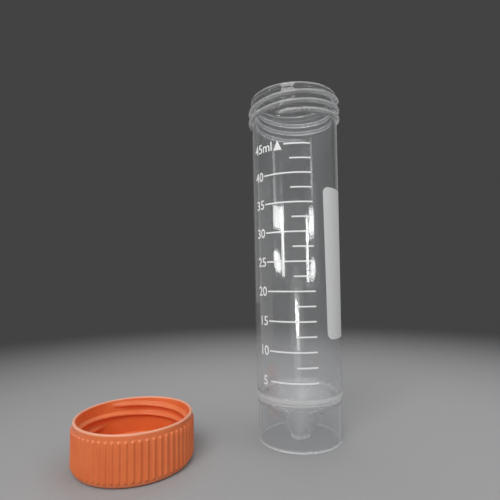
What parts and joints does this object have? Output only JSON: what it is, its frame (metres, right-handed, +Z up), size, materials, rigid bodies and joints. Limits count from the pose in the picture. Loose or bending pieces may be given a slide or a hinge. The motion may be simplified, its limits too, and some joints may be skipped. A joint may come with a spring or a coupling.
{
  "type": "50 ml conical tube",
  "caption": "Clear skirted tube with a conical bottom, printed volume scale, white writing patch and threaded neck; its ribbed orange screw cap lies beside it, open side up.",
  "frame": {"origin": "centre of the skirt's foot, on the plane the tube stands on", "axes": "+Z up the tube's axis to its mouth; -Y is the side with the printed volume scale; the removed cap lies towards -X"},
  "size_m": [0.0854, 0.0432, 0.115],
  "materials": {
    "clear_plastic": "clear, slightly milky polypropylene with a smooth gloss",
    "white_ink": "matte opaque white ink",
    "orange_plastic": "satin orange moulded plastic"
  },
  "bodies": {
    "tube": {"tube": "clear_plastic", "graduation": "white_ink", "writing_patch": "white_ink"},
    "cap": {"cap": "orange_plastic"}
  },
  "joints": [
    {"name": "cap_lift", "type": "slide", "parent": "tube", "child": "cap", "axis": [0, 0, 1], "range_m": [0, 0.12]}
  ]
}
